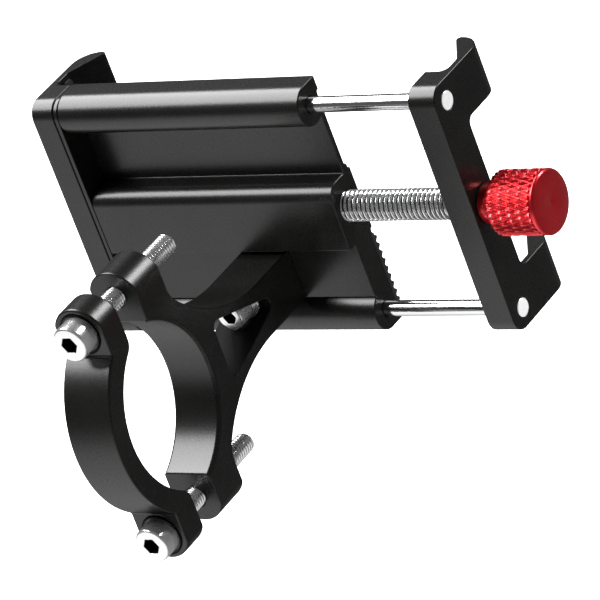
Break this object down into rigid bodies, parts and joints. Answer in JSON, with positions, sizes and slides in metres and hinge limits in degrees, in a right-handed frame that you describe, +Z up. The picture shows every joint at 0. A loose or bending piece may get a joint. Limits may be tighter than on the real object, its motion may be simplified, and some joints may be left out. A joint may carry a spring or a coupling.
{
  "type": "phone handlebar mount",
  "caption": "Phone holder for a handlebar: screw-driven jaw on guide rods, extruded back plate, hooked jaws, and a split ring clamp on a short arm.",
  "frame": {"origin": "centre of the arm's handlebar saddle, on the handlebar's axis and in the middle of the clamp's width", "axes": "+X along the handlebar, towards the knob; +Y from the handlebar towards the phone, square to the back plate; +Z up along the jaws"},
  "size_m": [0.1044, 0.0797, 0.0642],
  "materials": {
    "arm_black": "satin black anodised, bead blasted",
    "cap_black": "satin black anodised, bead blasted",
    "bolt_steel": "bright steel",
    "screw_steel": "bright steel",
    "washer_steel": "bright steel",
    "plate_black": "satin black anodised, bead blasted",
    "pad_rubber": "matte black silicone",
    "spacer_black": "satin black anodised, bead blasted",
    "jaw_black": "satin black anodised, bead blasted",
    "black_screws": "black oxide",
    "liner_rubber": "matte black silicone",
    "rod_steel": "polished stainless steel",
    "lead_screw_chrome": "bright plated",
    "washer_nylon": "black nylon",
    "knob_red": "bright red anodised"
  },
  "bodies": {
    "holder": {"arm": "arm_black", "arm_screw": "screw_steel", "arm_lock_washer": "washer_steel", "arm_plain_washer": "washer_steel", "back_plate": "plate_black", "pad_upper": "pad_rubber", "pad_lower": "pad_rubber", "end_spacer": "spacer_black", "fixed_jaw": "jaw_black", "fixed_jaw_screws": "black_screws", "fixed_jaw_liners": "liner_rubber"},
    "cap": {"clamp_cap": "cap_black"},
    "bolt_upper": {"clamp_bolt_upper": "bolt_steel"},
    "bolt_lower": {"clamp_bolt_lower": "bolt_steel"},
    "jaw": {"moving_jaw": "jaw_black", "moving_jaw_liners": "liner_rubber", "guide_rod_upper": "rod_steel", "guide_rod_lower": "rod_steel"},
    "drive": {"lead_screw": "lead_screw_chrome", "thrust_washer": "washer_nylon", "knob": "knob_red"}
  },
  "joints": [
    {"name": "jaw_slide", "type": "slide", "parent": "holder", "child": "jaw", "axis": [1, 0, 0], "range_m": [-0.024, 0.017]},
    {"name": "knob_turn", "type": "hinge", "parent": "jaw", "child": "drive", "pos_m": [0.05103, 0.0512, 0.0123], "axis": [1, 0, 0], "range_deg": [-8641, 6121]},
    {"name": "cap_slide", "type": "slide", "parent": "holder", "child": "cap", "axis": [0, 1, 0], "range_m": [-0.016, 0.006]},
    {"name": "bolt_upper_turn", "type": "hinge", "parent": "cap", "child": "bolt_upper", "pos_m": [0, -0.005, 0.0214], "axis": [0, 1, 0], "range_deg": [-8229.5, 3086.5]},
    {"name": "bolt_lower_turn", "type": "hinge", "parent": "cap", "child": "bolt_lower", "pos_m": [0, -0.005, -0.0214], "axis": [0, 1, 0], "range_deg": [-8229.5, 3086.5]}
  ],
  "couplings": [
    {"joint": "knob_turn", "follows": "jaw_slide", "rad_per_m": 6283.2},
    {"joint": "bolt_upper_turn", "follows": "cap_slide", "rad_per_m": 8976},
    {"joint": "bolt_lower_turn", "follows": "cap_slide", "rad_per_m": 8976}
  ]
}
